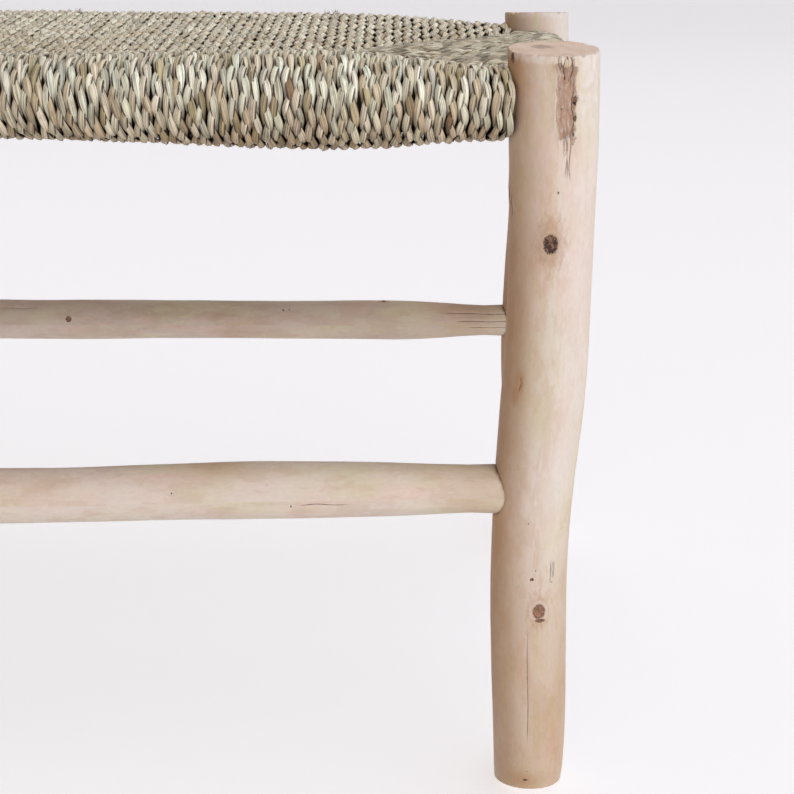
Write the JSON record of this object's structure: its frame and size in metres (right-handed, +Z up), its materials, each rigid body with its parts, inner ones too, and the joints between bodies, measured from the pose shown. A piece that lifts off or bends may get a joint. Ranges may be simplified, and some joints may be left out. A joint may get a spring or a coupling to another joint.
{
  "type": "woven seat bench",
  "caption": "Rustic bench of peeled round poles tenoned into sawn-off round legs, with a twisted palm-rope seat woven over the rails and meeting along mitres.",
  "frame": {"origin": "on the floor, under the middle of the bench", "axes": "+X along the bench to its right-hand end, +Y from the front to the back, +Z up"},
  "size_m": [1.0212, 0.3909, 0.4472],
  "materials": {
    "peeled_wood": "bare peeled wood with knots and fine cracks",
    "palm_rope": "dry twisted palm leaf, sage green to straw and brown",
    "tack_steel": "plain steel"
  },
  "bodies": {
    "root": {"leg_front_left": "peeled_wood", "leg_front_right": "peeled_wood", "leg_rear_left": "peeled_wood", "leg_rear_right": "peeled_wood", "rail_front": "peeled_wood", "rail_rear": "peeled_wood", "rail_left": "peeled_wood", "rail_right": "peeled_wood", "stretcher_front": "peeled_wood", "stretcher_rear": "peeled_wood", "stretcher_left": "peeled_wood", "stretcher_right": "peeled_wood", "seat_weave_front": "palm_rope", "seat_weave_rear": "palm_rope", "seat_weave_left": "palm_rope", "seat_weave_right": "palm_rope", "rope_tacks": "tack_steel"}
  },
  "joints": []
}
